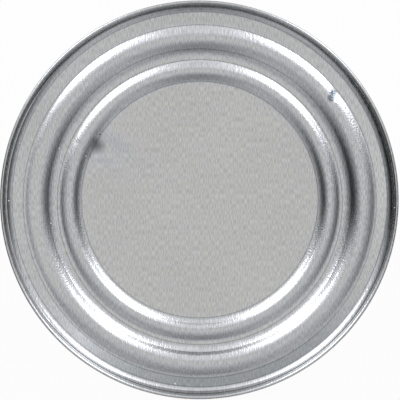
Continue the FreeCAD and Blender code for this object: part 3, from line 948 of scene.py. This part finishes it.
    # The ink lies a little uneven on the coated paper, and the two long edges show bare paper.
    fibre = noise(tree, map_node.outputs[0], (3.2, 3.2, 1), 4.0)
    bump = new("ShaderNodeBump")
    bump.inputs["Strength"].default_value = 0.3
    bump.inputs["Distance"].default_value = 0.00003
    ragged = calc("MULTIPLY", noise(tree, map_node.outputs[0], (0.7, 2.0, 1)), 0.35)
    bare = fade(tree, calc("ADD", to_edge, ragged), 0.22, 0.34, 1, 0)
    colour = mixed(tree, bare, colour, BARE_PAPER)
    ink = fade(tree, fibre, 0.25, 0.75, 0.0, 0.16)
    colour = mixed(tree, ink, colour, (0.30, 0.12, 0.07))
    shader.inputs["Coat Weight"].default_value = 0.25
    shader.inputs["Coat Roughness"].default_value = 0.25
    link_nodes(
        tree,
        (colour, shader.inputs["Base Color"]),
        (fade(tree, fibre, 0.3, 0.7, 0.42, 0.54), shader.inputs["Roughness"]),
        (fibre, bump.inputs["Height"]),
        (bump.outputs["Normal"], shader.inputs["Normal"]),
    )
    return material


section = label_section()
label = grown("paper_wrap", section_mesh("paper_label", section), wrap_tree(), {
    "Section points": len(section), "Steps round": LABEL_STEPS, "Radius": LABEL_RADIUS * MM,
    "Lap": LABEL_LAP * MM, "Paper": LABEL_PAPER * MM, "Foot": LABEL_FOOT * MM,
    "Finish": printed_label()})
face_out(label)
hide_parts("paper_label")
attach(label, "root")

# ---------------------------------------------------------------- studio
# The can stands on a white table. Two large softboxes stand side by side behind it, a pale
# ceiling hangs above, dark cards stand at both sides, and a low white wall runs all round.

world = bpy.data.worlds.new("studio")
bpy.context.scene.world = world
world.use_nodes = True
tree = world.node_tree
new = tree.nodes.new
background = tree.nodes["Background"]
direction = new("ShaderNodeSeparateXYZ")
tree.links.new(new("ShaderNodeTexCoord").outputs["Generated"], direction.inputs[0])
right, back, above = (direction.outputs[axis] for axis in "XYZ")


# Brightness of the room from its left wall, at -1, to its right wall, at 1: straight above the
# can, towards the front, towards the back under the softboxes, and far behind it.
ABOVE = [(-1, 0.0), (-0.82, 0.03), (-0.68, 0.14), (-0.55, 0.28), (-0.4, 0.46), (-0.2, 0.77), (-0.1, 0.91),
         (0.16, 0.91), (0.4, 0.61), (0.55, 0.40), (0.68, 0.24), (0.82, 0.08), (1, 0.02)]
FRONT = [(-1, 0.0), (-0.76, 0.01), (-0.66, 0.38), (-0.5, 0.66), (-0.35, 0.74), (-0.2, 0.55), (0, 0.34),
         (0.2, 0.53), (0.35, 0.74), (0.5, 0.64), (0.62, 0.50), (0.69, 0.33), (0.78, 0.02), (1, 0.0)]
BACK = [(-1, 0.0), (-0.82, 0.30), (-0.7, 0.50), (-0.58, 0.68), (-0.45, 1.05), (-0.3, 1.32),
        (-0.15, 1.05), (0, 0.72), (0.15, 1.05), (0.3, 1.32), (0.45, 1.05), (0.58, 0.68), (0.7, 0.50),
        (0.82, 0.30), (1, 0.0)]
MIDDLE = [(-1, 0.0), (-0.82, 0.5), (-0.7, 1.0), (-0.5, 1.7), (-0.3, 1.95), (-0.2, 1.5), (-0.1, 1.1),
          (0, 0.95), (0.1, 1.1), (0.2, 1.5), (0.3, 1.95), (0.5, 1.7), (0.66, 1.1), (0.82, 0.5), (1, 0.0)]
FAR = [(-1, 0.1), (-0.76, 0.75), (-0.55, 1.25), (-0.3, 0.70), (0, 0.38), (0.3, 0.65), (0.55, 1.25),
       (0.76, 0.7), (1, 0.1)]
COOL = (0.985, 0.99, 1.05)
# Each band of the room takes over from the one before it between two directions, from -1 at the
# front to 1 at the back.
calc = partial(math_node, tree)
room = ramp(tree, right, -1, 1, FRONT, COOL)
for stops, start, full in (
    (ABOVE, -0.70, -0.05), (BACK, 0.06, 0.20), (MIDDLE, 0.20, 0.36), (FAR, 0.70, 0.78)
):
    room = mixed(tree, fade(tree, back, start, full, 0, 1), room, ramp(tree, right, -1, 1, stops, COOL))
# An even patch straight above, the dark low part in front, and the low white wall.
from_top = calc("SQRT", calc("ADD", calc("MULTIPLY", right, right), calc("MULTIPLY", back, back)))
room = mixed(tree, fade(tree, from_top, 0.08, 0.16, 1, 0), room, (0.90, 0.90, 0.885))
low_front = calc("MULTIPLY", fade(tree, above, 0.3, 0.6, 1, 0), fade(tree, back, -0.3, 0, 1, 0))
room = mixed(tree, calc("MULTIPLY", low_front, 0.8), room, (0.03, 0.03, 0.035))
room = mixed(tree, fade(tree, above, 0.05, 0.12, 1, 0), room, (1.2, 1.2, 1.2))
seen = tree.nodes.new("ShaderNodeLightPath").outputs["Is Camera Ray"]
tree.links.new(mixed(tree, seen, room, (1, 1, 1)), background.inputs["Color"])
background.inputs["Strength"].default_value = 1.0

# Two softboxes lean back at an angle from straight above, at a distance from the can's top. Each
# reaches from side to side and from low to high, in metres.
SOFTBOX_POLAR = math.radians(33)
SOFTBOX_AWAY = 1.5
SOFTBOX_COLOUR = (0.88, 0.945, 1.0)
SOFTBOX_RADIANCE = 3.2
out = Vector((0, math.sin(SOFTBOX_POLAR), math.cos(SOFTBOX_POLAR)))
down = Vector((0, math.cos(SOFTBOX_POLAR), -math.sin(SOFTBOX_POLAR)))
for name, side, low, high in (("left", (-1.00, -0.42), -0.32, 0.30), ("right", (0.40, 0.88), -0.38, 0.30)):
    lamp_data = bpy.data.lights.new(f"softbox_{name}", "AREA")
    lamp_data.shape = "RECTANGLE"
    lamp_data.size = side[1] - side[0]
    lamp_data.size_y = high - low
    lamp_data.color = SOFTBOX_COLOUR
    lamp_data.energy = SOFTBOX_RADIANCE * math.pi * lamp_data.size * lamp_data.size_y
    lamp = bpy.data.objects.new(f"softbox_{name}", lamp_data)
    bpy.context.collection.objects.link(lamp)
    middle = Vector(((side[0] + side[1]) / 2, 0, CAN_HEIGHT * MM))
    lamp.location = middle + SOFTBOX_AWAY * out + (low + high) / 2 * down
    lamp.rotation_euler = out.to_track_quat("Z", "Y").to_euler()

TABLE_REACH = 4
TABLE_WHITE = (0.9, 0.9, 0.9, 1)
floor_mesh = bpy.data.meshes.new("table")
corners = [(x * TABLE_REACH, y * TABLE_REACH, 0) for x, y in ((-1, -1), (1, -1), (1, 1), (-1, 1))]
floor_mesh.from_pydata(corners, [], [(0, 1, 2, 3)])
floor = bpy.data.objects.new("table", floor_mesh)
bpy.context.collection.objects.link(floor)
floor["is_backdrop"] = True
white = bpy.data.materials.new("white_table")
white.use_nodes = True
tree = white.node_tree
tree.nodes["Principled BSDF"].inputs["Base Color"].default_value = TABLE_WHITE
tree.nodes["Principled BSDF"].inputs["Roughness"].default_value = 0.9
path = tree.nodes.new("ShaderNodeLightPath").outputs
seen = math_node(tree, "MAXIMUM", path["Is Camera Ray"], path["Is Glossy Ray"])
seen = math_node(tree, "MAXIMUM", seen, path["Is Transmission Ray"])
glow = tree.nodes.new("ShaderNodeEmission")
mix = tree.nodes.new("ShaderNodeMixShader")
link_nodes(
    tree,
    (math_node(tree, "MULTIPLY", seen, 0.95), mix.inputs["Fac"]),
    (tree.nodes["Principled BSDF"].outputs[0], mix.inputs[1]),
    (glow.outputs[0], mix.inputs[2]),
    (mix.outputs[0], tree.nodes["Material Output"].inputs["Surface"]),
)
floor_mesh.materials.append(white)

# ---------------------------------------------------------------- camera
# It looks straight down, a hair off the axis, and the rim nearly fills the picture's width.
CAMERA_OVER_RIM = 0.90
CAMERA_OFF = (0.00018, -0.00005)
WIDTH_SHARE = 199.5 / 200
camera_data = bpy.data.cameras.new("camera")
camera = bpy.data.objects.new("camera", camera_data)
bpy.context.collection.objects.link(camera)
camera.location = (*CAMERA_OFF, CAN_HEIGHT * MM + CAMERA_OVER_RIM)
half_width = RIM_RADIUS * MM / WIDTH_SHARE
camera_data.lens = camera_data.sensor_width / 2 / (half_width / (CAMERA_OVER_RIM + RIM_BEND * MM))
camera_data.clip_start = 0.01
bpy.context.scene.camera = camera
bpy.context.scene.view_settings.view_transform = "Standard"

low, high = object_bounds()
